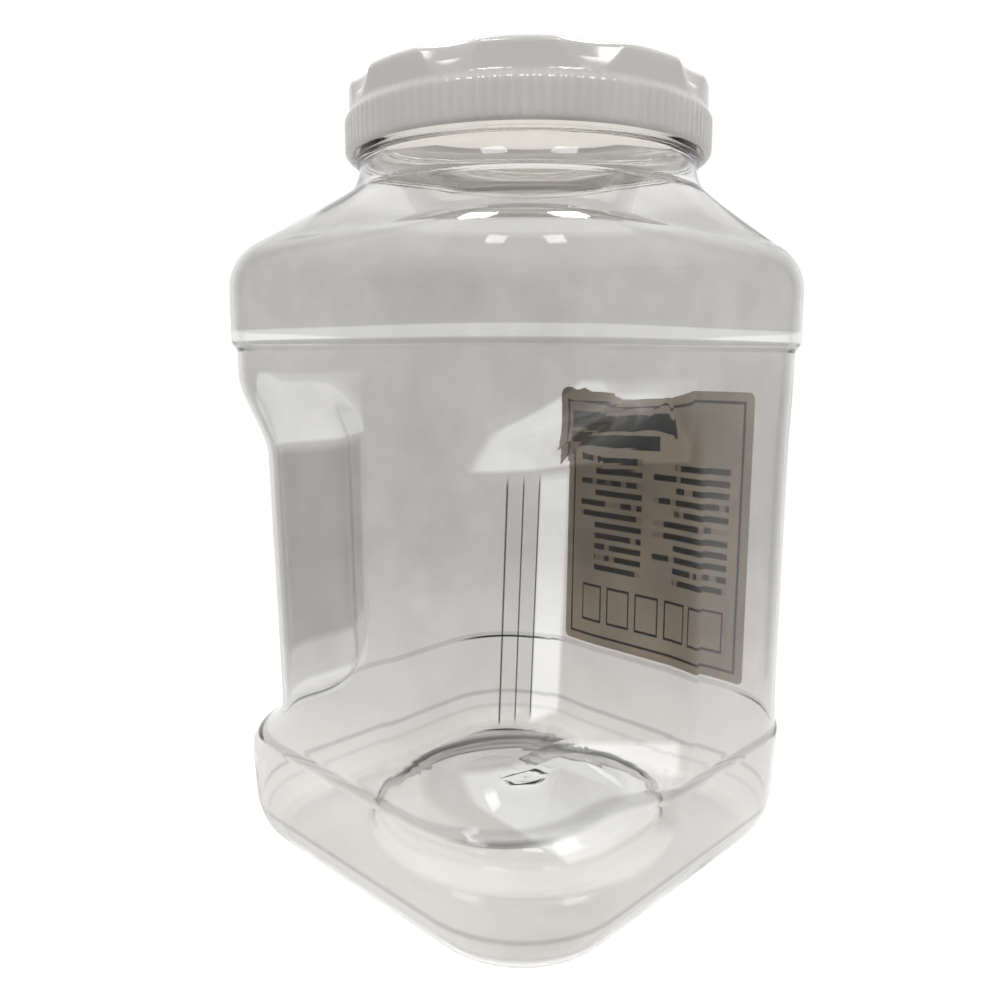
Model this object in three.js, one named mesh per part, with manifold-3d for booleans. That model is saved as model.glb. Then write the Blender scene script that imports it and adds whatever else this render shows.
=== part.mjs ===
// Clear square storage jar with a round threaded neck, two finger grips beside its back face,
// a scalloped screw lid with its sealing liner, and a paper label on the front face.
// Millimetres, +Z up. The origin is under the middle of the square body, on the surface it stands on.
// +X is the front face with the label, -X the back face between the two grips.
import * as THREE from 'three';
import { mergeVertices } from 'three/addons/utils/BufferGeometryUtils.js';
import Module from 'manifold-3d';

const wasm = await Module();
wasm.setup();

const TURN = 2 * Math.PI;
const RIGHT_ANGLE = Math.PI / 2;
const DEGREE = Math.PI / 180;

// Square body
const bodyWidth = 151;
const bodyCornerRadius = 37;
const bodyWall = 1.1;
const footInset = 14;
const footHeight = 17.5;
const footTopInset = 2.1;
const baseInset = 0.9;
const baseBandTop = 38.3;
const panelInset = 1.7;
const panelStep = 2.6;
const panelHeight = 122.5;
const shoulderBandHeight = 16;
const shoulderRound = 16;
const shoulderSlope = 29.5 * DEGREE;
const shoulderWidth = 22.3;
const neckOffset = 4.5;

// Raised round middle of the base
const standingWidth = 7.5;
const pushUpHeight = 14;
const pushUpEdge = 3;
const baseWall = 1.6;

// Finger grips. Their lengths run from the body's back face to the mouth's edge and the floor's end,
// and the flush ones are where these edges fade out above and below the grip.
const gripDepth = 20.9;
const gripLean = 5.2;
const gripEdgeRadius = 27;
const gripLength = 68.5;
const gripLengthFlush = 59.5;
const gripFloorLength = 43.5;
const gripFloorLengthFlush = 47.5;
const gripBottomDrop = 8.3;
const gripTopMargin = 7.2;
const gripFootSlope = 24;
const gripHeadSlope = 25;
const gripMouthRound = 5;
const gripFloorRound = 7;

// Threaded neck
const neckWall = 2.6;
const neckHeight = 14.2;
const beadHeight = 1.8;
const beadOverhang = 1.5;
const rimRound = 0.6;
const neckFlare = 3.8;
const neckFillet = 9.5;

// Screw thread shared by the neck and the lid
const threadLead = 5.08;
const threadTurns = 1.1;
const threadDepth = 1.3;
const threadRoot = 2.1;
const threadCrest = 0.9;
const threadRunOut = 25 * DEGREE;
const threadTopMargin = 3;
const threadSink = 0.3;
const radialClearance = 0.5;

// Lid
const lidSkirtWall = 2.5;
const lidRecess = 3.6;
const lidRimClearance = 0.4;
const lidBandHeight = 10.5;
const lidFootHeight = 2.2;
const lidFootInset = 1;
const lidStepHeight = 2.5;
const lidStepWidth = 1.5;
const lidEdgeRound = 1.3;
const lidRimWidth = 10;
const lidPanelThickness = 1.8;
const lidPanelBevel = 2.5;
const ribHeight = 0.4;
const ribsPerScoop = 13;
const scoopCount = 9;
const scoopDepth = 2.4;
const scoopHalfAngle = 10 * DEGREE;
const scoopFootShare = 0.45;

// Sealing liner
const linerThickness = 1.2;
const linerClearance = 0.3;

// Paper label, which runs a little way round both front corners
const labelLeftWrap = 8;
const labelRightWrap = 3.5;
const labelThickness = 0.4;
const labelClearance = 0.3;
const labelBottomMargin = 0.6;
const labelTopMargin = 13.9;

// Sizes that follow from these
const halfWidth = bodyWidth / 2;
const panelBottom = baseBandTop + panelStep;
const panelTop = panelBottom + panelHeight;
const shoulderBandBottom = panelTop + panelStep;
const shoulderBandTop = shoulderBandBottom + shoulderBandHeight;
const shoulderTurn = RIGHT_ANGLE - shoulderSlope;
const slopeBottom = shoulderBandTop + shoulderRound * Math.sin(shoulderTurn);
const slopeInset = shoulderRound * (1 - Math.cos(shoulderTurn));
const neckRadius = halfWidth - shoulderWidth;
const neckBoreRadius = neckRadius - neckWall;
const slopeEndRadius = neckRadius + neckFlare;
const pushUpRadius = halfWidth - footInset - standingWidth;
const cornerStart = halfWidth - bodyCornerRadius;
const cornerReach = cornerStart * Math.SQRT2 + bodyCornerRadius;
const slopeTop = slopeBottom + (cornerReach - slopeInset - slopeEndRadius) * Math.tan(shoulderSlope);
const neckBottom = slopeTop + neckFillet;
const beadTop = neckBottom + beadHeight;
const rimTop = beadTop + neckHeight;
const panelHalf = halfWidth - panelInset;
const gripBottom = baseBandTop - gripBottomDrop;
const gripTop = panelTop - gripTopMargin;
const neckThreadTop = rimTop - threadTopMargin;
const linerBottom = rimTop + linerClearance;
const lidCeiling = linerBottom + linerThickness + linerClearance;
const lidBottom = beadTop + lidRimClearance;
const lidTop = lidCeiling + lidPanelThickness + lidRecess;
const lidBandTop = lidBottom + lidBandHeight;
const lidBoreRadius = neckRadius + threadDepth + radialClearance;
const lidSeatRadius = neckRadius + radialClearance;
const lidRadius = lidBoreRadius + lidSkirtWall;
const lidUpperRadius = lidRadius - lidStepWidth;
const lidPanelRadius = lidUpperRadius - lidRimWidth;
const linerRadius = neckRadius;
const labelHeight = panelHeight - labelBottomMargin - labelTopMargin;

// Numbers of straight pieces in the round stretches
const cornerSteps = 6;
const flatSteps = 2;
const sideSteps = 3;
const mouthSteps = 2;
const floorSteps = 3;
const footSteps = 3;
const gripSteps = 4;
const shoulderSteps = 3;
const filletSteps = 2;
const roundSteps = 72;
const turnSteps = 54;
const pushUpSteps = 3;
const labelSteps = 3;
const overrun = 1;

function range(count) {
  return Array.from({ length: count + 1 }, (_, i) => i / count);
}

function heading(angle) {
  return new THREE.Vector2(Math.cos(angle), Math.sin(angle));
}

// Straight stretch of an outline without its two ends
function straight(from, to, steps, normal) {
  return range(steps).slice(1, -1).map((t) => ({ at: from.clone().lerp(to, t), normal }));
}

// Round corner of an outline from one heading to the next
function roundCorner(centre, radius, from, to, steps) {
  return range(steps).map((t) => {
    const normal = heading(from + (to - from) * t);
    return { at: centre.clone().addScaledVector(normal, radius), normal };
  });
}

// Soft bend that keeps its place when the two sides line up
function softBend(before, corner, after, round, steps) {
  const start = corner.clone().add(before.clone().sub(corner).setLength(round));
  const end = corner.clone().add(after.clone().sub(corner).setLength(round));
  const bend = new THREE.QuadraticBezierCurve(start, corner, end);
  return range(steps).map((t) => {
    const along = bend.getTangent(t);
    return { at: bend.getPoint(t), normal: new THREE.Vector2(along.y, -along.x) };
  });
}

// Half of the body's outline, from the middle of the front to the middle of the back.
// grip goes from 0, where the body is a rounded square, to 1 at the grips' full depth.
function halfOutline(half, radius, grip, depth) {
  const backRadius = THREE.MathUtils.lerp(radius, gripEdgeRadius, grip);
  const floor = half - depth * grip;
  const front = new THREE.Vector2(half, 0);
  const back = new THREE.Vector2(-half, 0);
  const frontCorner = new THREE.Vector2(half - radius, half - radius);
  const gripEdge = (flush, full) => THREE.MathUtils.lerp(flush, full, grip) - halfWidth;
  const mouth = new THREE.Vector2(gripEdge(gripLengthFlush, gripLength), half);
  const floorEnd = new THREE.Vector2(gripEdge(gripFloorLengthFlush, gripFloorLength), floor);
  const backCorner = new THREE.Vector2(-half + backRadius, floor - backRadius);
  const corner = roundCorner(frontCorner, radius, 0, RIGHT_ANGLE, cornerSteps);
  const mouthBend = softBend(corner.at(-1).at, mouth, floorEnd, gripMouthRound, mouthSteps);
  const backBend = roundCorner(backCorner, backRadius, RIGHT_ANGLE, 2 * RIGHT_ANGLE, cornerSteps);
  const floorBend = softBend(mouth, floorEnd, backBend[0].at, gripFloorRound, floorSteps);
  return [
    { at: front, normal: heading(0) },
    ...straight(front, corner[0].at, flatSteps, heading(0)),
    ...corner,
    ...straight(corner.at(-1).at, mouthBend[0].at, sideSteps, heading(RIGHT_ANGLE)),
    ...mouthBend,
    ...floorBend,
    ...backBend,
    ...straight(backBend.at(-1).at, back, flatSteps, heading(2 * RIGHT_ANGLE)),
    { at: back, normal: heading(2 * RIGHT_ANGLE) },
  ];
}

// Whole outline, its second half mirrored from the first
function outline(half, radius, grip, depth) {
  const left = halfOutline(half, radius, grip, depth);
  const right = left.slice(1, -1).reverse().map(({ at, normal }) => ({
    at: new THREE.Vector2(at.x, -at.y),
    normal: new THREE.Vector2(normal.x, -normal.y),
  }));
  return [...left, ...right];
}

// Share of the grips' full depth at one height, eased at both ends of the two slopes
function gripShare(z) {
  const up = THREE.MathUtils.smoothstep(z, gripBottom, gripBottom + gripFootSlope);
  const down = THREE.MathUtils.smoothstep(z, gripTop - gripHeadSlope, gripTop);
  return up - down;
}

// One level of the body. lean is how far its wall leans back from upright, and circle is the
// radius of the round neck that the outline has turned into, or 0 where it is still square.
function level(z, inset, lean = 0, circle = 0) {
  return { z, inset, lean, circle };
}

function bodyLevels() {
  const foot = range(footSteps).map((t) => {
    const angle = RIGHT_ANGLE * t;
    const inset = THREE.MathUtils.lerp(footInset, footTopInset, Math.sin(angle));
    return level(footHeight * (1 - Math.cos(angle)), inset, angle - RIGHT_ANGLE);
  });
  const gripFoot = range(gripSteps).map((t) => gripBottom + gripFootSlope * t);
  const gripHead = range(gripSteps).map((t) => gripTop - gripHeadSlope * (1 - t));
  const band = [...gripFoot.filter((z) => z < baseBandTop), baseBandTop].map((z) => {
    const share = (z - footHeight) / (baseBandTop - footHeight);
    return level(z, THREE.MathUtils.lerp(footTopInset, baseInset, share));
  });
  const panel = [...gripFoot, ...gripHead].filter((z) => z > panelBottom).map((z) => level(z, panelInset));
  const shoulder = range(shoulderSteps).map((t) => {
    const angle = shoulderTurn * t;
    const inset = shoulderRound * (1 - Math.cos(angle));
    return level(shoulderBandTop + shoulderRound * Math.sin(angle), inset, angle);
  });
  const fillet = range(filletSteps).map((t) => {
    const angle = shoulderTurn * (1 - t);
    const share = (1 - Math.cos(angle)) / (1 - Math.cos(shoulderTurn));
    const circle = THREE.MathUtils.lerp(neckRadius, slopeEndRadius, share);
    const z = neckBottom - neckFillet * Math.sin(angle) / Math.sin(shoulderTurn);
    return level(z, slopeInset, angle, circle);
  });
  return [
    ...foot,
    ...band,
    level(panelBottom, panelInset),
    ...panel,
    level(panelTop, panelInset),
    level(shoulderBandBottom, 0),
    ...shoulder,
    ...fillet,
  ];
}

// Ring of points at one level, moved inwards by a wall's thickness
function bodyRing({ z, inset, lean, circle }, wall) {
  const grip = gripShare(z);
  const sideways = wall * Math.cos(lean);
  const height = z - wall * Math.sin(lean);
  const depth = gripDepth + gripLean * (gripTop - z) / (gripTop - gripBottom);
  const ring = outline(halfWidth - inset, bodyCornerRadius - inset * (1 - grip), grip, depth);
  return ring.map(({ at, normal }) => {
    if (circle > 0) {
      const away = new THREE.Vector2(at.x - neckOffset, at.y).setLength(circle - sideways);
      return new THREE.Vector3(neckOffset + away.x, away.y, height);
    }
    return new THREE.Vector3(at.x - normal.x * sideways, at.y - normal.y * sideways, height);
  });
}

// Closed body through a stack of rings, each ring running the same way round, with flat ends
function loft(rings) {
  const count = rings[0].length;
  const middle = (ring) => ring.reduce((sum, p) => sum.add(p), new THREE.Vector3()).divideScalar(count);
  const points = [...rings.flat(), middle(rings[0]), middle(rings.at(-1))];
  const last = (rings.length - 1) * count;
  const index = [];
  for (let i = 0; i < count; i += 1) {
    const next = (i + 1) % count;
    for (let row = 0; row < last; row += count) {
      index.push(row + i, row + next, row + count + next);
      index.push(row + i, row + count + next, row + count + i);
    }
    index.push(last + count, next, i);
    index.push(last + count + 1, last + i, last + next);
  }
  const geometry = new THREE.BufferGeometry().setFromPoints(points);
  geometry.setIndex(index);
  return geometry;
}

// Turned body about the neck's axis, from a profile of [radius, height] points
function turned(profile) {
  const points = profile.map(([radius, height]) => new THREE.Vector2(radius, height));
  const geometry = new THREE.LatheGeometry(points, roundSteps);
  geometry.rotateX(RIGHT_ANGLE);
  return geometry.translate(neckOffset, 0, 0);
}

function solid(geometry) {
  geometry.deleteAttribute('normal');
  geometry.deleteAttribute('uv');
  const merged = mergeVertices(geometry);
  return new wasm.Manifold(new wasm.Mesh({
    numProp: 3,
    vertProperties: new Float32Array(merged.attributes.position.array),
    triVerts: new Uint32Array(merged.index.array),
  }));
}

function piece(name, body, material) {
  const mesh = body.getMesh();
  const geometry = new THREE.BufferGeometry();
  geometry.setAttribute('position', new THREE.BufferAttribute(new Float32Array(mesh.vertProperties), 3));
  geometry.setIndex(new THREE.BufferAttribute(new Uint32Array(mesh.triVerts), 1));
  const part = new THREE.Mesh(geometry, material);
  part.name = name;
  return part;
}

// Right-hand screw ridge on a round wall: outward on the neck, inward in the lid
function threadRidge(wallRadius, outward, topHeight) {
  const sweep = TURN * threadTurns;
  const rings = range(Math.round(turnSteps * threadTurns)).map((t) => {
    const angle = sweep * t;
    const rise = Math.min(1, Math.min(angle, sweep - angle) / threadRunOut);
    const foot = wallRadius - outward * threadSink;
    const crest = wallRadius + outward * THREE.MathUtils.lerp(-threadSink / 2, threadDepth, rise);
    const height = topHeight - threadLead * threadTurns * t;
    const section = [
      [foot, -threadRoot / 2],
      [crest, -threadCrest / 2],
      [crest, threadCrest / 2],
      [foot, threadRoot / 2],
    ];
    return section.map(([radius, up]) => {
      const away = heading(-angle).multiplyScalar(radius);
      return new THREE.Vector3(neckOffset + away.x, away.y, height + up);
    });
  });
  return solid(loft(outward > 0 ? rings : rings.map((ring) => ring.reverse())));
}

// Raised round middle of the base, lifted by the base's wall where it faces the inside
function pushUp(wall) {
  const slope = range(pushUpSteps).map((t) => [
    (pushUpRadius - pushUpEdge + wall) * (1 - t),
    pushUpEdge + (pushUpHeight - pushUpEdge) * Math.sin(RIGHT_ANGLE * t) + wall,
  ]);
  return solid(turned([[0, -overrun], [pushUpRadius + wall, -overrun], [pushUpRadius + wall, 0], ...slope]));
}

// Round neck with its bead and rim, from just below the top of the shoulder
function neckFinish() {
  const bead = neckRadius + beadOverhang;
  return solid(turned([
    [0, neckBottom - beadHeight / 3],
    [neckRadius, neckBottom - beadHeight / 3],
    [neckRadius, neckBottom],
    [bead, neckBottom + beadHeight / 3],
    [bead, beadTop - beadHeight / 3],
    [neckRadius, beadTop],
    [neckRadius, rimTop - rimRound],
    [neckRadius - rimRound, rimTop],
    [0, rimTop],
  ]));
}

function neckBore() {
  const low = neckRadius - bodyWall;
  return solid(turned([
    [0, slopeTop + neckFillet / 2],
    [low, slopeTop + neckFillet / 2],
    [low, neckBottom],
    [neckBoreRadius, beadTop],
    [neckBoreRadius, rimTop + overrun],
    [0, rimTop + overrun],
  ]));
}

function jarBody() {
  const levels = bodyLevels();
  const outside = solid(loft(levels.map((l) => bodyRing(l, 0)))).add(neckFinish());
  const inside = solid(loft(levels.slice(1).map((l) => bodyRing(l, bodyWall))));
  return outside.subtract(pushUp(0))
    .subtract(inside.subtract(pushUp(baseWall)))
    .subtract(neckBore())
    .add(threadRidge(neckRadius, 1, neckThreadTop));
}

// Round ring of points about the neck's axis from one radius and angle for each point
function roundRing(polar, height) {
  return polar.map(([radius, angle]) => {
    const away = heading(angle).multiplyScalar(radius);
    return new THREE.Vector3(neckOffset + away.x, away.y, height);
  });
}

// Lower band of the lid with fine upright ribs
function ribbedBand() {
  const count = 2 * ribsPerScoop * scoopCount;
  const ring = (radius, rib, height) => {
    const polar = range(count).slice(0, -1).map((t, i) => [radius - rib * (i % 2), TURN * t]);
    return roundRing(polar, height);
  };
  return solid(loft([
    ring(lidRadius - lidFootInset, 0, lidBottom),
    ring(lidRadius, ribHeight, lidBottom + lidFootHeight),
    ring(lidRadius, ribHeight, lidBandTop),
    ring(lidUpperRadius - overrun / 2, 0, lidBandTop + lidStepHeight),
  ]));
}

// Upper part of the lid: the scoops start at nothing above the ribs and are widest at the top
function scoopedTop() {
  const pitch = TURN / scoopCount;
  const across = [-1, -0.7, -0.35, 0, 0.35, 0.7, 1];
  const start = lidBandTop + lidStepHeight;
  const ring = (radius, height) => {
    const share = Math.max(0, (height - start) / (lidTop - start));
    const halfAngle = scoopHalfAngle * THREE.MathUtils.lerp(scoopFootShare, 1, share);
    const polar = range(scoopCount).slice(0, -1).flatMap((_, i) => {
      const scoop = across.map((a) => [radius - scoopDepth * share * (1 - a * a), pitch * i + halfAngle * a]);
      return [...scoop, [radius, pitch * (i + 1 / 2)]];
    });
    return roundRing(polar, height);
  };
  return solid(loft([
    ring(lidUpperRadius, lidBottom + lidFootHeight),
    ring(lidUpperRadius, start),
    ring(lidUpperRadius, (start + lidTop) / 2),
    ring(lidUpperRadius, lidTop - lidEdgeRound),
    ring(lidUpperRadius - lidEdgeRound, lidTop),
  ]));
}

function screwLid() {
  const seatBottom = neckThreadTop + threadRoot;
  const cavity = solid(turned([
    [0, lidBottom - overrun],
    [lidBoreRadius, lidBottom - overrun],
    [lidBoreRadius, seatBottom - threadDepth],
    [lidSeatRadius, seatBottom],
    [lidSeatRadius, lidCeiling],
    [0, lidCeiling],
  ]));
  const panelFloor = lidCeiling + lidPanelThickness;
  const panel = solid(turned([
    [0, panelFloor],
    [lidPanelRadius - lidPanelBevel, panelFloor],
    [lidPanelRadius, lidTop],
    [lidPanelRadius, lidTop + overrun],
    [0, lidTop + overrun],
  ]));
  const ridge = threadRidge(lidBoreRadius, -1, neckThreadTop - threadLead / 2);
  return ribbedBand().add(scoopedTop()).subtract(cavity).subtract(panel).add(ridge);
}

function lidLiner() {
  return solid(turned([
    [0, linerBottom],
    [linerRadius, linerBottom],
    [linerRadius, linerBottom + linerThickness],
    [0, linerBottom + linerThickness],
  ]));
}

// Label plate lying just off the front panel and the start of both its corners
function sideLabel() {
  const near = panelHalf - cornerStart + labelClearance;
  const bend = (radius, side, wrap) => range(labelSteps).map((t) => {
    const away = heading(side * t * wrap / near).multiplyScalar(radius);
    return new THREE.Vector2(cornerStart + away.x, side * cornerStart + away.y);
  });
  const edge = (radius) => [...bend(radius, -1, labelLeftWrap).reverse(), ...bend(radius, 1, labelRightWrap)];
  const shape = new THREE.Shape([...edge(near + labelThickness), ...edge(near).reverse()]);
  const geometry = new THREE.ExtrudeGeometry(shape, { depth: labelHeight, bevelEnabled: false });
  return solid(geometry.translate(0, 0, panelBottom + labelBottomMargin));
}

const clearPlastic = new THREE.MeshStandardMaterial({
  color: 0xd9dcdc, roughness: 0.06, metalness: 0, transparent: true, opacity: 0.35,
});
const whitePlastic = new THREE.MeshStandardMaterial({ color: 0xeeeeec, roughness: 0.4, metalness: 0 });
const foam = new THREE.MeshStandardMaterial({ color: 0xf4f3ee, roughness: 0.9, metalness: 0 });
const paper = new THREE.MeshStandardMaterial({ color: 0xb9ab93, roughness: 0.7, metalness: 0 });

const storageJar = new THREE.Group();
storageJar.add(
  piece('jar_body', jarBody(), clearPlastic),
  piece('lid_liner', lidLiner(), foam),
  piece('screw_lid', screwLid(), whitePlastic),
  piece('side_label', sideLabel(), paper),
);
export default storageJar;
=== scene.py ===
import bpy
import math
from mathutils import Matrix, Vector


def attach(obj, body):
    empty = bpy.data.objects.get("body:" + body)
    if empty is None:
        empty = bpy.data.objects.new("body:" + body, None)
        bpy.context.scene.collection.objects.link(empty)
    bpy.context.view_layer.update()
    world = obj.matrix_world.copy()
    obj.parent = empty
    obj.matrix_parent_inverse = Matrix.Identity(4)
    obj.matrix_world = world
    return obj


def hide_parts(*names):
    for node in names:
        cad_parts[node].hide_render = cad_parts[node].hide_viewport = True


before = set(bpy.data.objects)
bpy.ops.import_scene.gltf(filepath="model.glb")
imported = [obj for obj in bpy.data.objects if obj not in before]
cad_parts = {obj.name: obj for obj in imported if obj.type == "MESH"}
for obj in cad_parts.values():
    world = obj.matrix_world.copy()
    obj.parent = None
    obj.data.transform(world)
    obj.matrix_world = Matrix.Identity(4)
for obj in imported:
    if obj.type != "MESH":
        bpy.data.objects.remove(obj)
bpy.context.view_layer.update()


# The studio
# A pale table top, a white surround, two soft boxes hung side by side behind and over the jar,
# and two dimmer ones over the camera. The camera stands at the height of the jar's shoulder.

MM = 0.001


class Wire:
    """A socket of a material's tree; arithmetic on it adds Math nodes."""

    def __init__(self, tree, socket):
        self.tree = tree
        self.socket = socket

    def node(self, kind, settings=None, **inputs):
        """A new node: its settings, then its sockets by name, or by number as i0, i1 and so on."""
        made = self.tree.nodes.new(kind)
        for key, value in (settings or {}).items():
            setattr(made, key, value)
        for key, value in inputs.items():
            name = key.replace("_", " ")
            slot = made.inputs[int(name[1:])] if name[1:].isdigit() else made.inputs[name]
            if isinstance(value, Wire):
                self.tree.links.new(value.socket, slot)
            else:
                slot.default_value = value
        return made

    def out(self, made, name=0):
        return Wire(self.tree, made.outputs[name])

    def math(self, operation, *values):
        inputs = {f"i{n}": value for n, value in enumerate(values)}
        return self.out(self.node("ShaderNodeMath", {"operation": operation}, **inputs))

    def __add__(self, other):
        return self.math("ADD", self, other)

    def __sub__(self, other):
        return self.math("SUBTRACT", self, other)

    def __rsub__(self, other):
        return self.math("SUBTRACT", other, self)

    def __mul__(self, other):
        return self.math("MULTIPLY", self, other)

    def __truediv__(self, other):
        return self.math("DIVIDE", self, other)

    def above(self, edge, blur=0.0001):
        """1 where this is over the edge, 0 under it, with a short ramp between."""
        ramp = {"From_Min": edge - blur, "From_Max": edge + blur, "To_Min": 0.0, "To_Max": 1.0}
        return self.out(self.node("ShaderNodeMapRange", {"clamp": True}, Value=self, **ramp))

    def between(self, low, high, blur=0.0001):
        return self.above(low, blur) * (1 - self.above(high, blur))

    def mix(self, first, second):
        """The first colour where this is 0, the second where it is 1."""
        mixed = self.node("ShaderNodeMix", {"data_type": "RGBA"}, i0=self, i6=first, i7=second)
        return self.out(mixed, 2)

    def feed(self, shader, name):
        self.tree.links.new(self.socket, shader.inputs[name])


def new_material(name):
    """A named node material, with a Wire to build on, its Principled shader and its output."""
    made = bpy.data.materials.new(name)
    made.use_nodes = True
    nodes = made.node_tree.nodes
    return made, Wire(made.node_tree, None), nodes["Principled BSDF"], nodes["Material Output"]


def seen_ray(flow):
    """1 for a ray that shows the surround itself: straight, mirrored or through the plastic."""
    rays = flow.node("ShaderNodeLightPath")
    seen = flow.math("MAXIMUM", flow.out(rays, "Is Camera Ray"), flow.out(rays, "Is Glossy Ray"))
    return flow.math("MAXIMUM", seen, flow.out(rays, "Is Transmission Ray"))


def place_on(flow):
    """The place on a piece: as a vector, and in mm along x, y and z."""
    place = flow.out(flow.node("ShaderNodeTexCoord"), "Object")
    parts = flow.node("ShaderNodeSeparateXYZ", Vector=place)
    return place, [flow.out(parts, n) / MM for n in range(3)]


def deselect():
    if bpy.context.object and bpy.context.object.mode != "OBJECT":
        bpy.ops.object.mode_set(mode="OBJECT")
    bpy.ops.object.select_all(action="DESELECT")


camera_place = Vector((-217.70, -202.85, 161.5)) * MM
camera_ahead = Vector((0.7104, 0.6860, -0.1571)).normalized()
camera_roll = math.radians(0.19)
level_right = camera_ahead.cross(Vector((0, 0, 1))).normalized()
level_up = level_right.cross(camera_ahead)
camera_right = math.cos(camera_roll) * level_right + math.sin(camera_roll) * level_up
camera_up = camera_right.cross(camera_ahead)
camera_turn = Matrix((camera_right, camera_up, -camera_ahead)).transposed()
bpy.ops.object.camera_add(location=camera_place, rotation=camera_turn.to_euler())
camera = bpy.context.object
camera.data.sensor_width = 36
camera.data.lens = 32.254
bpy.context.scene.camera = camera
bpy.context.scene.view_settings.view_transform = "Standard"

world = bpy.data.worlds.new("white_surround")
bpy.context.scene.world = world
world.use_nodes = True
backdrop = world.node_tree.nodes["Background"]
fill_shade = (0.50, 0.51, 0.52, 1)
white = (1, 1, 1, 1)
seen_ray(Wire(world.node_tree, None)).mix(fill_shade, white).feed(backdrop, "Color")
backdrop.inputs["Strength"].default_value = 1.0

deselect()
table_size, table_drop = 6, 0.2 * MM
bpy.ops.mesh.primitive_plane_add(size=table_size, location=(0, 0, -table_drop))
table = bpy.context.object
table.name = "table_top"
table_white, flow, table_shader, table_surface = new_material("pale_table")
table_shader.inputs["Base Color"].default_value = (0.86, 0.86, 0.855, 1)
table_shader.inputs["Roughness"].default_value = 0.8
table_shader.inputs["Specular IOR Level"].default_value = 0.2
table_glow = flow.node("ShaderNodeEmission", Color=white, Strength=1.0)
table_place, _ = place_on(flow)
from_jar = flow.node("ShaderNodeVectorMath", {"operation": "LENGTH"}, i0=table_place)
glow_near_jar = 0.8
glow_share = flow.out(from_jar, "Value").above(0.32, 0.2) * (1 - glow_near_jar) + glow_near_jar
table_mix = flow.node("ShaderNodeMixShader", i0=seen_ray(flow) * glow_share,
                      i1=flow.out(table_shader), i2=flow.out(table_glow))
flow.out(table_mix).feed(table_surface, "Surface")
table.data.materials.append(table_white)


def soft_box(name, place, aim, width, depth, power):
    """A square lamp, sized in metres, turned to face its aim."""
    ahead = (Vector(aim) - Vector(place)).to_track_quat("-Z", "Y").to_euler()
    bpy.ops.object.light_add(type="AREA", location=place, rotation=ahead)
    lamp = bpy.context.object
    lamp.name = name
    lamp.data.shape = "RECTANGLE"
    lamp.data.size = width
    lamp.data.size_y = depth
    lamp.data.energy = power


away = Vector((camera_ahead.x, camera_ahead.y, 0)).normalized()
for side, hand in ((-1, "left"), (1, "right")):
    overhead = away * 0.42 + level_right * 0.36 * side + Vector((0, 0, 1.35))
    soft_box(f"{hand}_overhead_box", overhead, aim=(0, 0, 0.15), width=0.21, depth=0.32, power=9)
for side, hand in ((-1, "left"), (1, "right")):
    in_front = away * -0.8 + level_right * 0.42 * side + Vector((0, 0, 1.15))
    soft_box(f"{hand}_front_box", in_front, aim=(0, 0, 0.2), width=0.3, depth=0.3, power=5.5)


# The jar body
# One piece of clear PET, blow moulded, so its wall is thin and its corners are soft. The grips,
# the bands and the raised base come from the mould; the threaded neck is thicker than the wall.

body_half = 75.5
corner_radius = 37
wall = 1.1
foot_inset = 14
foot_height = 17.5
foot_top_inset = 2.1
base_inset = 0.9
base_band_top = 38.3
panel_inset = 1.7
panel_step = 2.6
panel_top = 163.4
shoulder_band_top = 182.0
shoulder_round = 16
shoulder_turn = math.radians(60.5)
neck_centre = 4.5
neck_radius = 53.2
neck_bore = 50.6
slope_end = 57
neck_fillet = 9.5
bead_height = 1.8
bead_overhang = 1.5
neck_height = 14.2
dome_radius = 51
push_up_height = 14
push_up_edge = 3
gate_ring_radius, gate_ring_half, gate_ring_height = 7, 1.6, 0.7
gate_dip_radius, gate_dip = 3, 0.8
base_wall = 1.6
rim_round = 0.6
grip_half = 52.9
grip_corner = 27
grip_bottom = 30
grip_top = 156.2
grip_foot_slope = 24
grip_head_slope = 25
grip_lean = 5.2
grip_mouth, grip_mouth_flush = -7, -16
grip_floor_end, grip_floor_end_flush = -32, -28
grip_mouth_round, grip_floor_round = 5, 7
thread_lead = 5.08
thread_turns = 1.1
thread_depth = 1.3
thread_fade = 0.44
thread_crest, thread_foot = 0.35, 1.1
thread_top_margin = 3

slope_bottom = shoulder_band_top + shoulder_round * math.sin(shoulder_turn)
slope_inset = shoulder_round * (1 - math.cos(shoulder_turn))
corner_reach = (body_half - corner_radius) * math.sqrt(2) + corner_radius
slope_top = slope_bottom + (corner_reach - slope_inset - slope_end) / math.tan(shoulder_turn)
neck_bottom = slope_top + neck_fillet
bead_top = neck_bottom + bead_height
rim_top = bead_top + neck_height
thread_top = rim_top - thread_top_margin


def ease(value, low, high):
    t = min(1, max(0, (value - low) / (high - low)))
    return t * t * (3 - 2 * t)


def blend(first, second, share):
    return first + (second - first) * share


def spread(first, last, steps):
    return [blend(first, last, n / steps) for n in range(steps + 1)]


def round_corner(centre, radius, first, last, steps):
    facings = [(math.cos(a), math.sin(a)) for a in spread(first, last, steps)]
    return [(centre[0] + radius * x, centre[1] + radius * y, x, y) for x, y in facings]


def soft_bend(before, corner, after, radius, steps):
    corner = Vector(corner)
    first = corner + (Vector(before) - corner).normalized() * radius
    last = corner + (Vector(after) - corner).normalized() * radius
    bend = []
    for t in spread(0, 1, steps):
        at = first * (1 - t) ** 2 + corner * 2 * t * (1 - t) + last * t * t
        along = ((corner - first) * (1 - t) + (last - corner) * t).normalized()
        bend.append((at.x, at.y, along.y, -along.x))
    return bend


def straight(first, last, steps, facing):
    return [(blend(first[0], last[0], t), blend(first[1], last[1], t), *facing)
            for t in spread(0, 1, steps)[1:-1]]


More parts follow.
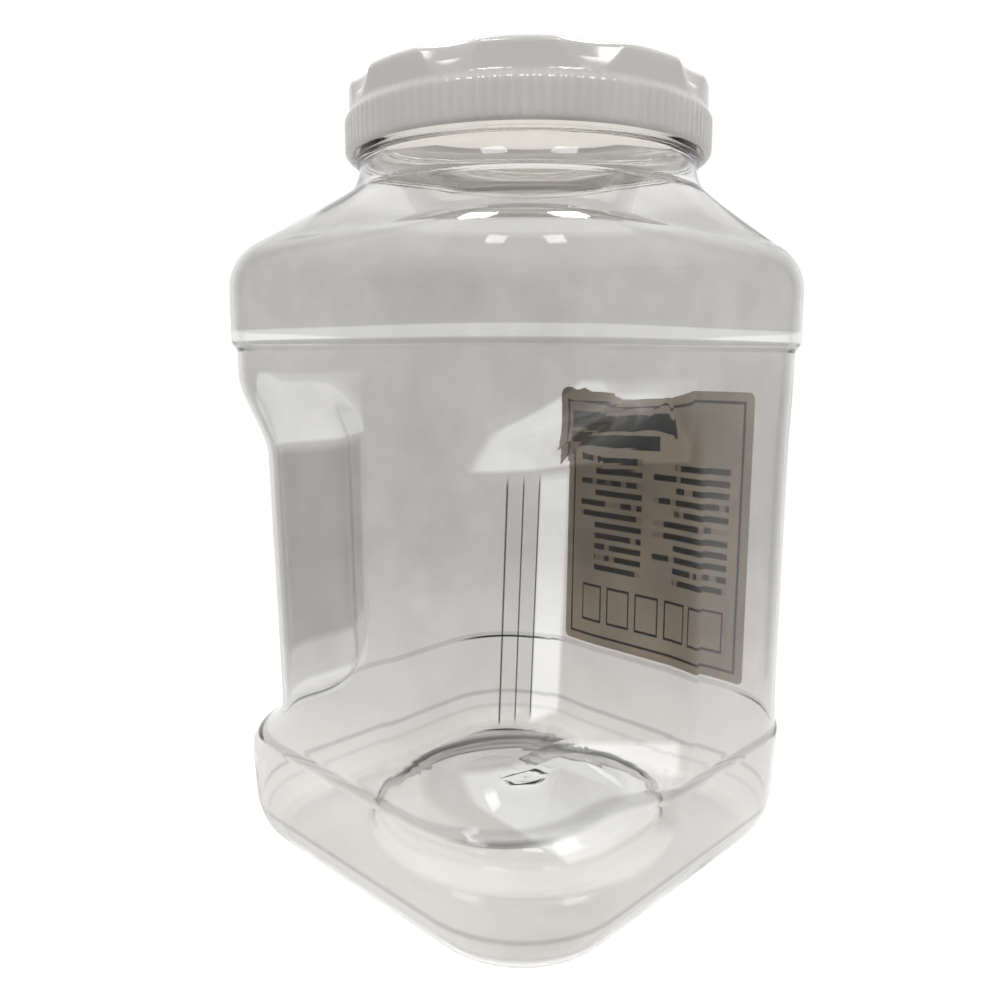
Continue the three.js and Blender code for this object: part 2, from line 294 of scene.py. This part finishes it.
def body_outline(inset, grip, lean_in=0):
    """Points (x, y, facing x, facing y) once round the body, from the middle of the front; grip
    is 0 where the side is flush and 1 where the finger grip has its full depth."""
    half = body_half - inset
    radius = corner_radius - inset * (1 - grip)
    back_radius = blend(radius, grip_corner, grip)
    floor = half - (body_half - panel_inset - grip_half + lean_in) * grip
    mouth = (blend(grip_mouth_flush, grip_mouth, grip), half)
    floor_end = (blend(grip_floor_end_flush, grip_floor_end, grip), floor)
    quarter = math.pi / 2
    back_centre = (-half + back_radius, floor - back_radius)
    corner = round_corner((half - radius, half - radius), radius, 0, quarter, 14)
    back = round_corner(back_centre, back_radius, quarter, math.pi, 14)
    edge = soft_bend(corner[-1][:2], mouth, floor_end, grip_mouth_round, 8)
    crease = soft_bend(mouth, floor_end, back[0][:2], grip_floor_round, 8)
    left = [(half, 0, 1, 0), *straight((half, 0), corner[0], 7, (1, 0)), *corner,
            *straight(corner[-1], edge[0], 8, (0, 1)), *edge, *crease, *back,
            *straight(back[-1], (-half, 0), 7, (-1, 0)), (-half, 0, -1, 0)]
    right = [(x, -y, facing_x, -facing_y) for x, y, facing_x, facing_y in left[1:-1]][::-1]
    return left + right


around_body = [math.atan2(y, x - neck_centre) for x, y, _, _ in body_outline(0, 0)]


def body_ring(z, inset, lean, inward):
    """One level of the wall: lean is its turn back from upright, inward its way in from outside."""
    grip = ease(z, grip_bottom, grip_bottom + grip_foot_slope)
    grip -= ease(z, grip_top - grip_head_slope, grip_top)
    sideways = inward * math.cos(lean)
    height = z - inward * math.sin(lean)
    lean_in = grip_lean * (grip_top - z) / (grip_top - grip_bottom)
    outline = body_outline(inset, grip, lean_in)
    return [(x - fx * sideways, y - fy * sideways, height) for x, y, fx, fy in outline]


def round_ring(radius, z):
    return [(neck_centre + radius * math.cos(a), radius * math.sin(a), z) for a in around_body]


def thread_ring(angles, radius, z, outward, top):
    """A ring of the neck or lid wall with the screw ridge standing on it where the ridge passes."""
    ring = []
    lap = 2 * math.pi
    whole = thread_turns * lap
    for a in angles:
        rise = 0
        for turned in ((-a) % lap, (-a) % lap + lap):
            if turned < whole:
                off = abs(z - (top - thread_lead * turned / lap))
                full = min(1, turned / thread_fade, (whole - turned) / thread_fade)
                rise = max(rise, full * (1 - ease(off, thread_crest, thread_foot)))
        out = radius + outward * thread_depth * rise
        ring.append((neck_centre + out * math.cos(a), out * math.sin(a), z))
    return ring


def wall_levels():
    """Heights, insets and leans of the wall, from the foot up to where the shoulder's slope starts."""
    ledge_run, ledge_margin = 0.4, 1.5
    levels = []
    for a in spread(0, math.pi / 2, 10):
        inset = foot_top_inset + (foot_inset - foot_top_inset) * (1 - math.sin(a))
        levels.append((foot_height * (1 - math.cos(a)), inset, a - math.pi / 2))
    for z in spread(foot_height, base_band_top - 1, 8)[1:]:
        share = (z - foot_height) / (base_band_top - foot_height)
        levels.append((z, blend(foot_top_inset, base_inset, share), 0))
    for t in spread(0, 1, 6):
        z = blend(base_band_top - ledge_run, base_band_top + panel_step + ledge_run, t)
        levels.append((z, blend(base_inset, panel_inset, ease(t, 0, 1)), 0))
    for z in spread(base_band_top + panel_step + ledge_margin, panel_top - ledge_margin, 58):
        levels.append((z, panel_inset, 0))
    for t in spread(0, 1, 6):
        z = blend(panel_top - ledge_run, panel_top + panel_step + ledge_run, t)
        levels.append((z, panel_inset * (1 - ease(t, 0, 1)), 0))
    for z in spread(panel_top + panel_step + ledge_margin, shoulder_band_top, 6)[:-1]:
        levels.append((z, 0, 0))
    for a in spread(0, shoulder_turn, 12):
        z = shoulder_band_top + shoulder_round * math.sin(a)
        levels.append((z, shoulder_round * (1 - math.cos(a)), a))
    return levels


def slope_rings(inward):
    """The shoulder's slope, which turns from the square outline to the round neck."""
    square = body_ring(slope_bottom, slope_inset, shoulder_turn, inward)
    shift = inward * math.cos(shoulder_turn)
    circle = round_ring(slope_end - shift, slope_top - inward * math.sin(shoulder_turn))
    rings = []
    for t in spread(0, 1, 14)[1:]:
        rings.append([tuple(blend(p, q, t) for p, q in zip(low, high))
                      for low, high in zip(square, circle)])
    for t in spread(0, 1, 6)[1:]:
        a = shoulder_turn * (1 - t)
        share = (1 - math.cos(a)) / (1 - math.cos(shoulder_turn))
        radius = blend(neck_radius, slope_end, share) - inward * math.cos(a)
        z = neck_bottom - neck_fillet * math.sin(a) / math.sin(shoulder_turn) - inward * math.sin(a)
        rings.append(round_ring(radius, z))
    return rings


def base_rings(lift):
    """The raised round middle of the base, from its centre out, with a small ring round the gate."""
    rings = []
    for r in (0, 1.5, 3, 5, 6.2, 7, 7.8, 9, 12, 16, 20, 25, 30, 35, 40, 44, 47, 49.5, dome_radius):
        gate = gate_ring_height * max(0, 1 - abs(r - gate_ring_radius) / gate_ring_half)
        gate -= gate_dip * max(0, 1 - r / gate_dip_radius)
        dome = (push_up_height - push_up_edge) * math.cos(math.asin(min(1, r / dome_radius)))
        widened = r * (dome_radius + lift) / dome_radius
        rings.append(round_ring(widened, push_up_edge + dome + gate + lift))
    for out, z in ((0.8, 1.6), (1.8, 0.5), (3, 0.02), (4.5, 0)):
        rings.append(round_ring(dome_radius + out + lift, z + (lift if z > 1 else lift * 0.9)))
    return rings


outside = base_rings(0)
outside += [body_ring(z, inset, lean, 0) for z, inset, lean in wall_levels()]
outside += slope_rings(0)
bead = neck_radius + bead_overhang
for radius, z in ((bead - 0.5, 0.25), (bead, 0.7), (bead, 1.1), (bead - 0.5, 1.55),
                  (neck_radius + 0.1, bead_height)):
    outside.append(round_ring(radius, neck_bottom + z))
for z in spread(bead_top + 0.4, rim_top - 0.7, 46):
    outside.append(thread_ring(around_body, neck_radius, z, 1, thread_top))
for middle, first, last in ((neck_radius - rim_round, 0, math.pi / 2),
                            (neck_bore + rim_round, math.pi / 2, math.pi)):
    for a in spread(first, last, 4):
        z = rim_top - rim_round + rim_round * math.sin(a)
        outside.append(round_ring(middle + rim_round * math.cos(a), z))
for z in spread(rim_top - 3, bead_top + 1, 5):
    outside.append(round_ring(neck_bore, z))
inside = base_rings(base_wall)[:-2]
inside += [body_ring(z, inset, lean, wall) for z, inset, lean in wall_levels()[2:]]
inside += slope_rings(wall)
body_rings = outside + inside[::-1]


def let_light_through(flow, shader, surface, tint, share=1):
    """The lamps' light passes through the piece, or a share of it does; rays that are seen do not."""
    light_rays = flow.node("ShaderNodeLightPath")
    passing = flow.node("ShaderNodeBsdfTransparent", Color=tint)
    mixed = flow.node("ShaderNodeMixShader", i0=flow.out(light_rays, "Is Shadow Ray") * share,
                      i1=flow.out(shader), i2=flow.out(passing))
    flow.out(mixed).feed(surface, "Surface")


def wrapped(name, rings):
    """A flat grid wrapped round ring by ring, then welded along its seam and at its poles."""
    weld, crease_angle = 0.002 * MM, math.radians(50)
    deselect()
    steps = len(rings[0])
    bpy.ops.mesh.primitive_grid_add(x_subdivisions=steps, y_subdivisions=len(rings) - 1, size=1)
    piece = bpy.context.object
    piece.name = name
    for vertex in piece.data.vertices:
        column = round((vertex.co.x + 0.5) * steps) % steps
        row = round((vertex.co.y + 0.5) * (len(rings) - 1))
        vertex.co = Vector(rings[row][column]) * MM
    bpy.ops.object.mode_set(mode="EDIT")
    bpy.ops.mesh.select_all(action="SELECT")
    bpy.ops.mesh.remove_doubles(threshold=weld)
    bpy.ops.mesh.normals_make_consistent(inside=False)
    bpy.ops.object.mode_set(mode="OBJECT")
    bpy.ops.object.shade_smooth_by_angle(angle=crease_angle)
    return piece


body = wrapped("jar_body_clear", body_rings)

wall_shades = ((0.655, 0.648, 0.63, 1), (0.725, 0.718, 0.705, 1))
# painted light: the foot, slope and neck shades are lighter than the wall's tint
painted_light_foot_shades = ((0.84, 0.83, 0.81, 1), (0.77, 0.76, 0.74, 1))
painted_light_slope_shades = ((0.83, 0.82, 0.80, 1), (0.75, 0.74, 0.72, 1))
wall_speck = (0.48, 0.475, 0.46, 1)
painted_light_neck = (0.96, 0.955, 0.95, 1)
# painted highlight white, for the grips and the shoulder ribbon
painted_highlight_white = (1, 1, 0.99, 1)
# painted shade grey for the palm side's grip floor
painted_palm_shade_grey = (0.475, 0.465, 0.45, 1)
base_grey = (0.73, 0.725, 0.71, 1)
# painted shade grey for lines at the ledges, the foot and the bottom edge
painted_step_grey = (0.25, 0.245, 0.24, 1)
# painted shade grey towards the outline
painted_edge_grey = (0.24, 0.235, 0.23, 1)
# painted dark lines for the thumb side and the corner crease
painted_line_dark = (0.02, 0.02, 0.02, 1)

# where the painted shades and highlights lie, in mm: lowest and highest, or hindmost and foremost
foot_line, foot_bend_line = (6.8, 8), (12.4, 14)
base_ledge, base_crease = (38.4, 40.9), (38.1, 39.1)
shoulder_ledge, painted_ribbon_highlight = (164.6, 166), (166.3, 169.3)
grip_length, grip_floor_height, palm_floor_height = (-64.5, -8), (54, 131), (66, 131)
painted_strip_span = (-46, -35)
painted_line_places = ((-46.9, -46.3), (-52.3, -51.8), (-56.9, -56.4))

pet, flow, pet_shader, pet_surface = new_material("clear_pet")
pet_shader.inputs["IOR"].default_value = 1.57
pet_shader.inputs["Transmission Weight"].default_value = 1.0
pet_shader.inputs["Specular Tint"].default_value = (0.19, 0.19, 0.19, 1)
place, (along, sideways, height) = place_on(flow)
off_middle = flow.math("ABSOLUTE", sideways)
cloud = flow.node("ShaderNodeTexNoise", Vector=place, Scale=13.0, Detail=2.0)
speckle = flow.node("ShaderNodeTexNoise", Vector=place, Scale=70.0, Detail=5.0)
smears = flow.node("ShaderNodeTexNoise", Vector=place, Scale=14.0, Detail=5.0, Distortion=1.2)
ripple = flow.node("ShaderNodeTexNoise", Vector=place, Scale=22.0, Detail=1.0)

# the wall from the foot up: a grey tint that varies at random, with the foot, the shoulder's slope and
# the neck painted lighter, as painted light
haze = flow.out(cloud).above(0.5, 0.16)
wall_shade = haze.mix(*wall_shades)
wall_shade = (flow.out(speckle).above(0.5, 0.15) * 0.2).mix(wall_shade, wall_speck)
tint_and_painted_light = height.above(54, 24).mix(haze.mix(*painted_light_foot_shades), wall_shade)
tint_and_painted_light = height.above(198, 6).mix(tint_and_painted_light, haze.mix(*painted_light_slope_shades))
tint_and_painted_light = height.above(211, 2).mix(tint_and_painted_light, painted_light_neck)

# the grips: painted highlights on the slopes at both ends and a painted highlight strip on the thumb
# side, and painted shade on the palm side's floor
in_grip = along.between(*grip_length, 1) * off_middle.above(34, 2)
thumb_side = 1 - sideways.above(0, 1)
slope_edge = flow.math("MINIMUM", along * 1.06 + 212.5, 156)
head_slope = height.above(133.5, 0.6) * (1 - (height - slope_edge).above(0, 0.8))
foot_slope = (1 - height.above(53, 1)) * (height + slope_edge).above(190, 0.8)
painted_grip_highlights = (head_slope + foot_slope) * in_grip * (1 - off_middle.above(72.6, 0.4))
grip_floor = in_grip * height.between(*grip_floor_height, 1.5) * (1 - off_middle.above(55, 1))
painted_strip_highlight = grip_floor * along.between(*painted_strip_span, 0.6) * height.above(64, 1) * thumb_side
tint_and_painted_light = flow.math("MAXIMUM", painted_grip_highlights, painted_strip_highlight).mix(tint_and_painted_light, painted_highlight_white)
# painted shade over the floor of the grip on the palm side
painted_palm_shade = in_grip * height.between(*palm_floor_height, 1.5) * (1 - thumb_side)
painted_palm_shade = painted_palm_shade * (1 - along.above(-14, 1.5)) * (1 - off_middle.above(71, 1))
tint_and_painted_light = painted_palm_shade.mix(tint_and_painted_light, painted_palm_shade_grey)

# the raised base darker, a painted highlight ribbon over the shoulder ledge, and painted shade lines
# at the ledges, the foot and the bottom edge
base_along = along - neck_centre
from_middle = flow.math("SQRT", base_along * base_along + sideways * sideways)
raised_base = (1 - from_middle.above(47, 2)) * (1 - height.above(19, 1))
tint_and_painted_light = raised_base.mix(tint_and_painted_light, base_grey)
tint_and_painted_light = (height.between(*painted_ribbon_highlight, 0.25) * 0.75).mix(tint_and_painted_light, painted_highlight_white)
# painted shade: dark lines along the bottom edge, the ledges and the foot
steps = (1 - height.above(1.2, 0.8)) * 0.35
for band, blur, strength in ((base_ledge, 0.3, 0.3), (shoulder_ledge, 0.3, 0.25),
                             (foot_line, 0.5, 0.2), (foot_bend_line, 0.5, 0.4)):
    steps = steps + height.between(*band, blur) * strength
tint_and_painted_light = steps.mix(tint_and_painted_light, painted_step_grey)

# painted dark lines on the thumb side, standing in for refracted edges, on the outer skin only, and
# painted shade in the ledge's crease at the corners
lean_rate = grip_lean / (grip_top - grip_bottom)
grip_depth = height * lean_rate + (grip_half - lean_rate * grip_top)
bend_along = along + (body_half - panel_inset - grip_corner)
bend_side = off_middle - grip_depth + grip_corner
from_bend = flow.math("SQRT", bend_along * bend_along + bend_side * bend_side)
outer_skin = from_bend.above(grip_corner - 0.5, 0.1)
first_line, second_line, third_line = (along.between(*line, 0.1) for line in painted_line_places)
painted_grip_lines = first_line + second_line + third_line
painted_grip_lines = painted_grip_lines * grip_floor * height.above(66, 1) * thumb_side * outer_skin
corner_way = flow.math("ABSOLUTE", along) + off_middle
painted_crease_shade = height.between(*base_crease, 0.12) * corner_way.above(120, 4)
tint_and_painted_light = flow.math("MAXIMUM", painted_grip_lines, painted_crease_shade).mix(tint_and_painted_light, painted_line_dark)

# a wall seen along its own plane greys towards its outline: partly the longer path through the
# plastic, mostly painted shade standing in for dark refractions; the thin band is a painted dark line
edge_on = flow.out(flow.node("ShaderNodeLayerWeight", Blend=0.28), "Facing")
painted_edge_shade = edge_on.above(0.76, 0.22) * (1 - height.above(200, 6))
painted_edge_line = edge_on.between(0.40, 0.46, 0.03) * height.between(60, 208, 2) * 0.35
tint_and_painted_light = flow.math("MAXIMUM", painted_edge_shade, painted_edge_line).mix(tint_and_painted_light, painted_edge_grey)

tint_and_painted_light.feed(pet_shader, "Base Color")
(flow.out(smears).above(0.56, 0.12) * 0.03).feed(pet_shader, "Roughness")
ripple_bump = flow.node("ShaderNodeBump", Strength=0.08, Distance=0.004, Height=flow.out(ripple))
flow.out(ripple_bump).feed(pet_shader, "Normal")
let_light_through(flow, pet_shader, pet_surface, tint=(0.95, 0.95, 0.95, 1))
body.data.materials.append(pet)
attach(body, "jar")
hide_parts("jar_body")


# The screw lid
# White polypropylene, injection moulded. Nine scoops round the top edge give the hand a hold, and
# fine ribs run round the band below. Its right-hand thread screws it down onto the jar's neck.

lid_gap = 0.4
lid_height = 21
lid_band_height = 10.5
lid_radius = 57.5
upper_radius = 56
panel_thickness = 1.8
thread_gap = 0.5
liner_gap = 0.3
liner_thickness = 1.2
rib_count = 117
rib_height = 0.25
scoop_count = 9
scoop_depth = 2.4
scoop_half = math.radians(10)
scoop_start = 2.5
recess_radius = 43
points_per_rib = 6

lid_bottom = bead_top + lid_gap
lid_top = lid_bottom + lid_height
lid_band_top = lid_bottom + lid_band_height
liner_bottom = rim_top + liner_gap
liner_top = liner_bottom + liner_thickness
lid_ceiling = liner_top + liner_gap
lid_bore = neck_radius + thread_depth + thread_gap
lid_seat = neck_radius + thread_gap
around_lid = spread(0, 2 * math.pi, rib_count * points_per_rib)[:-1]


def lid_ring(radius, z, rib=0, scoop=1):
    """One level of the lid: rib is the depth of its grooves, scoop the share of the scoops' cut."""
    start = lid_band_top + scoop_start
    share = max(0, (z - start) / (lid_top - start)) * scoop
    half = scoop_half * blend(0.45, 1, share)
    pitch = 2 * math.pi / scoop_count
    ring = []
    for n, a in enumerate(around_lid):
        off = (a + pitch / 2) % pitch - pitch / 2
        cut = scoop_depth * share * max(0, 1 - (off / half) ** 2)
        groove = rib * (0.5 - 0.5 * math.cos(2 * math.pi * n / points_per_rib))
        out = radius - cut - groove
        ring.append((neck_centre + out * math.cos(a), out * math.sin(a), z))
    return ring


lid_rings = []
panel_floor = lid_ceiling + panel_thickness
for r in (0, 6, 14, 24, 34, 41, recess_radius):
    lid_rings.append(lid_ring(r, panel_floor, 0, 0))
for out, up in ((0.8, 0.2), (1.6, 1.2), (2.4, 2.4), (2.9, 3.3), (3.3, 3.9), (4, 4.35)):
    lid_rings.append(lid_ring(recess_radius + out, blend(panel_floor, lid_top, up / 4.4), 0, 0))
for r, down in ((48.5, 0), (51, 0), (53.6, 0), (54.7, 0.05), (55.3, 0.35), (55.75, 0.85),
                (upper_radius, 1.5)):
    lid_rings.append(lid_ring(r, lid_top - down, 0, ease(r, 48, 54)))
for z in spread(lid_top - 2.1, lid_band_top + 3.2, 13):
    lid_rings.append(lid_ring(upper_radius, z))
for out, up in ((0, 2.6), (0.15, 2.1), (0.5, 1.4), (1.0, 0.7), (1.35, 0.15)):
    lid_rings.append(lid_ring(upper_radius + out, lid_band_top + up, rib_height * (1 - up / 2.6)))
for z in spread(lid_band_top - 0.5, lid_bottom + 1.8, 7):
    lid_rings.append(lid_ring(lid_radius, z, rib_height))
for back, up, rib in ((0.15, 1.1, 0.3), (0.5, 0.55, 0.1), (0.9, 0.2, 0), (1.4, 0, 0),
                      (1.9, 0, 0), (2.35, 0.25, 0)):
    lid_rings.append(lid_ring(lid_radius - back, lid_bottom + up, rib))
for z in spread(lid_bottom + 0.8, thread_top + 0.8, 40):
    lid_rings.append(thread_ring(around_lid, lid_bore, z, -1, thread_top - thread_lead / 2))
lid_rings.append(lid_ring(lid_seat, thread_top + 2.1, 0, 0))
lid_rings.append(lid_ring(lid_seat, lid_ceiling - 0.4, 0, 0))
for r in (lid_seat - 0.4, 40, 20, 0):
    lid_rings.append(lid_ring(r, lid_ceiling, 0, 0))
lid = wrapped("screw_lid_white", lid_rings)

lid_shades = ((0.45, 0.437, 0.417, 1), (0.38, 0.368, 0.35, 1))
# painted light: the inside is lighter than the outside of the same plastic
painted_lid_inside_light = (0.86, 0.845, 0.825, 1)
lid_plastic, flow, lid_shader, lid_surface = new_material("white_polypropylene")
place, (along, sideways, height) = place_on(flow)
off_axis = along - neck_centre
cloud = flow.out(flow.node("ShaderNodeTexNoise", Vector=place, Scale=35.0, Detail=3.0))
grain = flow.out(flow.node("ShaderNodeTexNoise", Vector=place, Scale=2600.0, Detail=2.0))
from_axis = flow.math("SQRT", off_axis * off_axis + sideways * sideways)
# the inside of the skirt and thread is painted lighter, as painted light coming through the lid
painted_light_inside = 1 - from_axis.above(lid_bore + 0.3, 0.2)
painted_light_inside = painted_light_inside * (1 - height.above(lid_ceiling + 0.5, 0.2))
lid_shade = painted_light_inside.mix(cloud.above(0.5, 0.34).mix(*lid_shades), painted_lid_inside_light)
lid_shade.feed(lid_shader, "Base Color")
(cloud * 0.1 + 0.1).feed(lid_shader, "Roughness")
lid_shader.inputs["Subsurface Weight"].default_value = 0.6
lid_shader.inputs["Subsurface Radius"].default_value = (1.0, 0.95, 0.9)
lid_shader.inputs["Subsurface Scale"].default_value = 0.005
lid_grain = flow.node("ShaderNodeBump", Strength=0.12, Distance=0.0002, Height=grain)
flow.out(lid_grain).feed(lid_shader, "Normal")
let_light_through(flow, lid_shader, lid_surface, tint=(0.95, 0.95, 0.94, 1), share=0.95)
lid.data.materials.append(lid_plastic)
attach(lid, "lid")
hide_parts("screw_lid")


# The lid's liner
# A disc of closed-cell foam with a thin skin, pressed into the top of the lid. It closes on the
# neck's rim, and rises with the lid.

liner_radius = 53.2
skin_dent = 0.08
upper_dents, lower_dents = (9, 21, 33, 45), (8, 20, 32, 44)
liner_rings = []
for r in (0, 8, 9, 20, 21, 32, 33, 44, 45, liner_radius - 0.6):
    liner_rings.append(lid_ring(r, liner_top - (skin_dent if r in upper_dents else 0), 0, 0))
for back, z in ((0.2, liner_top - 0.1), (0, liner_top - 0.4),
                (0, liner_bottom + 0.4), (0.2, liner_bottom + 0.1)):
    liner_rings.append(lid_ring(liner_radius - back, z, 0, 0))
for back in (0.6, 1.3, 1.8):
    liner_rings.append(lid_ring(liner_radius - back, liner_bottom, 0, 0))
for r in (45, 44, 33, 32, 21, 20, 9, 8, 0):
    liner_rings.append(lid_ring(r, liner_bottom + (skin_dent if r in lower_dents else 0), 0, 0))
liner_rings = [ring[::points_per_rib] for ring in liner_rings]
liner = wrapped("liner_foam_disc", liner_rings)

liner_shades = ((0.76, 0.745, 0.725, 1), (0.80, 0.79, 0.77, 1))
liner_glow = (0.78, 0.765, 0.745, 1)
liner_foam, flow, liner_shader, liner_surface = new_material("liner_foam")
place, _ = place_on(flow)
cells = flow.out(flow.node("ShaderNodeTexVoronoi", Vector=place, Scale=900.0))
cells.mix(*liner_shades).feed(liner_shader, "Base Color")
(cells * 0.2 + 0.65).feed(liner_shader, "Roughness")
foam_bump = flow.node("ShaderNodeBump", Strength=0.3, Distance=0.0002, Height=cells)
flow.out(foam_bump).feed(liner_shader, "Normal")
glow_through = flow.node("ShaderNodeBsdfTranslucent", Color=liner_glow)
liner_mix = flow.node("ShaderNodeMixShader", Fac=0.85,
                      i1=flow.out(liner_shader), i2=flow.out(glow_through))
flow.out(liner_mix).feed(liner_surface, "Surface")
liner.data.materials.append(liner_foam)
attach(liner, "liner")
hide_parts("lid_liner")


# The label
# Thin tan paper, printed on both sides so that it also reads through the clear jar, and glued to
# the front panel. Both edges run a little way round the corners.

label_left = -46.5
label_right = 42
label_lift = 0.6
label_bottom = base_band_top + panel_step + label_lift
label_height = 108
label_width = label_right - label_left
label_gap = 0.3
paper_thickness = 0.2 * MM
corner_trim = 2.5
panel_half = body_half - panel_inset
panel_corner = body_half - corner_radius


def label_point(across, up, off):
    """A point on the label: across and up from its lower corner, off the panel by a little."""
    y = label_left + across
    if abs(y) < panel_corner:
        return (panel_half + off, y, label_bottom + up)
    middle = math.copysign(panel_corner, y)
    reach = panel_half - panel_corner
    turn = (y - middle) / reach
    x = panel_corner + (reach + off) * math.cos(turn)
    return (x, middle + (reach + off) * math.sin(turn), label_bottom + up)


deselect()
label_columns, label_rows = 84, 54
bpy.ops.mesh.primitive_grid_add(x_subdivisions=label_columns, y_subdivisions=label_rows, size=1)
label = bpy.context.object
label.name = "front_label"
for vertex in label.data.vertices:
    across = (vertex.co.x + 0.5) * label_width
    up = (vertex.co.y + 0.5) * label_height
    short_x = corner_trim - min(across, label_width - across)
    short_y = corner_trim - min(up, label_height - up)
    if short_x > 0 and short_y > 0:
        fall = math.hypot(short_x, short_y)
        if fall > corner_trim:
            pull = 1 - corner_trim / fall
            across += short_x * pull * (1 if across < corner_trim else -1)
            up += short_y * pull * (1 if up < corner_trim else -1)
    vertex.co = Vector(label_point(across, up, label_gap)) * MM
paper_thick = label.modifiers.new("paper", "SOLIDIFY")
paper_thick.thickness = paper_thickness
paper_thick.offset = 1
bpy.ops.object.modifier_apply(modifier="paper")
bpy.ops.object.shade_smooth_by_angle(angle=math.radians(40))

paper_shades = ((0.58, 0.49, 0.39, 1), (0.43, 0.36, 0.285, 1))
ink_black = (0.012, 0.012, 0.013, 1)
row_count, word_count, box_pitch = 24.0, 34.0, 0.16
label_paper, flow, label_shader, _ = new_material("printed_paper")
place, (_, sideways, height) = place_on(flow)
across = (sideways - label_left) / label_width
up = (height - label_bottom) / label_height


def chance(cell):
    """A fixed random number from 0 to 1 for each whole number."""
    return flow.out(flow.node("ShaderNodeTexWhiteNoise", {"noise_dimensions": "1D"}, W=cell))


def block(left, right, low, high, blur=0.002):
    """1 inside a rectangle of the label, its edges in shares of the label's width and height."""
    return across.between(left, right, blur) * up.between(low, high, blur)


frame_line = block(0.04, 0.96, 0.03, 0.97, 0.001) * (1 - block(0.052, 0.948, 0.04, 0.96, 0.001))
heading = block(0.34, 0.93, 0.845, 0.925)
heading_two = block(0.44, 0.93, 0.775, 0.83)
stripes = flow.math("FRACT", up * row_count).between(0.22, 0.74, 0.03)
row = flow.math("FLOOR", up * row_count)
ragged = chance(row)
short_left = across.above(0.36, 0.002) * ragged.above(0.55, 0.01)
short_right = across.above(0.80, 0.002) * ragged.between(0.25, 0.7, 0.01)
column_left = across.between(0.10, 0.47, 0.002) * (1 - short_left)
column_right = across.between(0.53, 0.90, 0.002) * (1 - short_right)
words = chance(flow.math("FLOOR", across * word_count) + row * 57.0).above(0.2, 0.01)
lines = stripes * up.between(0.30, 0.745, 0.002) * flow.math("MAXIMUM", column_left, column_right)
lines = lines * (words * 0.75 + 0.25)
boxes = flow.math("FRACT", (across - 0.10) / box_pitch)
box_hole = boxes.between(0.10, 0.80, 0.01) * up.between(0.10, 0.23, 0.001)
box_solid = boxes.between(0.05, 0.85, 0.01)
box_line = block(0.10, 0.90, 0.09, 0.24, 0.001) * box_solid * (1 - box_hole)
ink = frame_line
for printed in (heading, heading_two, lines, box_line):
    ink = flow.math("MAXIMUM", ink, printed)
fibre = flow.out(flow.node("ShaderNodeTexNoise", Vector=place, Scale=420.0, Detail=5.0))
patch = flow.out(flow.node("ShaderNodeTexNoise", Vector=place, Scale=26.0, Detail=2.0))
ink = flow.math("MINIMUM", ink * (fibre * 0.3 + 0.85), 1.0)
ink.mix(patch.above(0.5, 0.15).mix(*paper_shades), ink_black).feed(label_shader, "Base Color")
(fibre * 0.25 + 0.5).feed(label_shader, "Roughness")
fibre_bump = flow.node("ShaderNodeBump", Strength=0.15, Distance=0.0001, Height=fibre)
flow.out(fibre_bump).feed(label_shader, "Normal")
label_shader.inputs["Specular IOR Level"].default_value = 0.06
label.data.materials.append(label_paper)
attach(label, "jar")
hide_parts("side_label")
